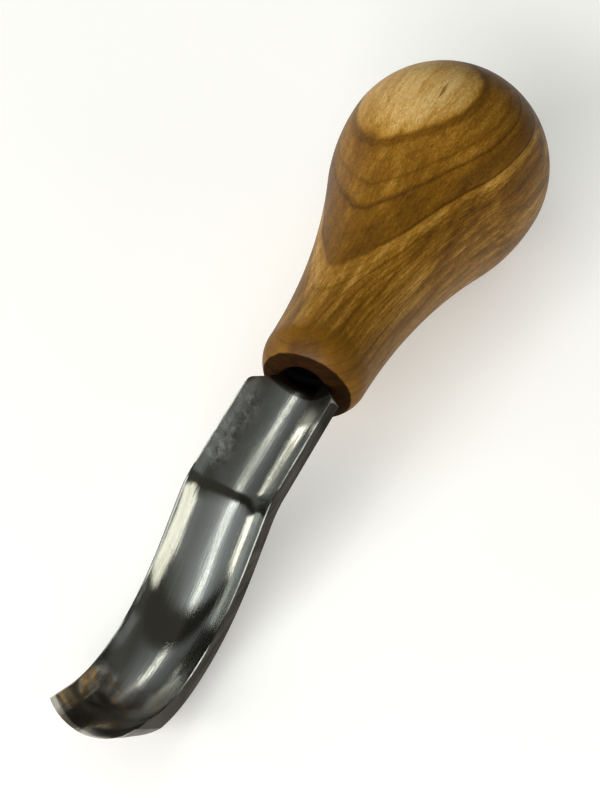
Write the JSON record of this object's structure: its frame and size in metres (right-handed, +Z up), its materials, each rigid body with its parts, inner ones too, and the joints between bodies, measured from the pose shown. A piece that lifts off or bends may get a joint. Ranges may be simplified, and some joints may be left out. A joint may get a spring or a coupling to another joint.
{
  "type": "bent gouge",
  "caption": "Bent gouge: a polished channel blade that cranks down and sweeps up to a bevelled round edge, on a turned pear-shaped wooden palm handle.",
  "frame": {"origin": "centre of the tool's footprint on the bench, in its plane of symmetry, where it lies on bulb and heel with the hollow of the blade up", "axes": "+X along the tool towards the cutting edge, +Z up out of the hollow of the blade, +Y to its left"},
  "size_m": [0.1613, 0.0366, 0.0367],
  "materials": {
    "wood": "satin",
    "steel": "polished",
    "resin": "matte"
  },
  "bodies": {
    "root": {"handle": "wood", "blade": "steel", "tang_bedding": "resin"}
  },
  "joints": []
}
